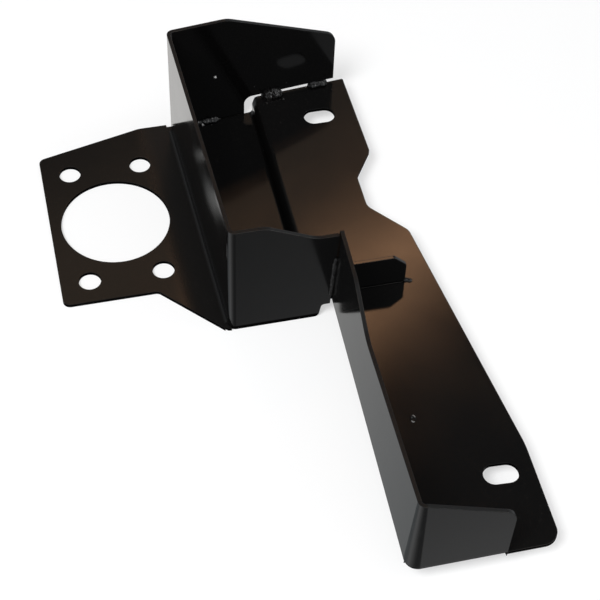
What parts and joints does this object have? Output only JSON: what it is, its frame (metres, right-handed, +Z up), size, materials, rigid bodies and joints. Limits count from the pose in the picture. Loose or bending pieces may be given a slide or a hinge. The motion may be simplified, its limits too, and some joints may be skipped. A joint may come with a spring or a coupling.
{
  "type": "bumper bracket",
  "caption": "Folded steel bumper bracket: a bolt-on plate with a large hole and a three-sided box, joined to a long slotted plate with a tall flange.",
  "frame": {"origin": "centre of the large hole, on the underside of the mounting plate", "axes": "+X from the mounting plate towards the long plate, +Y back along the long plate, away from its turned-up end, +Z up out of the mounting plate, the way the walls stand"},
  "size_m": [0.2102, 0.329, 0.076],
  "materials": {
    "black_paint": "gloss"
  },
  "bodies": {
    "root": {"box_bracket": "black_paint", "long_plate": "black_paint", "weld_panel": "black_paint", "weld_plate": "black_paint", "weld_seam": "black_paint", "weld_lug": "black_paint"}
  },
  "joints": []
}
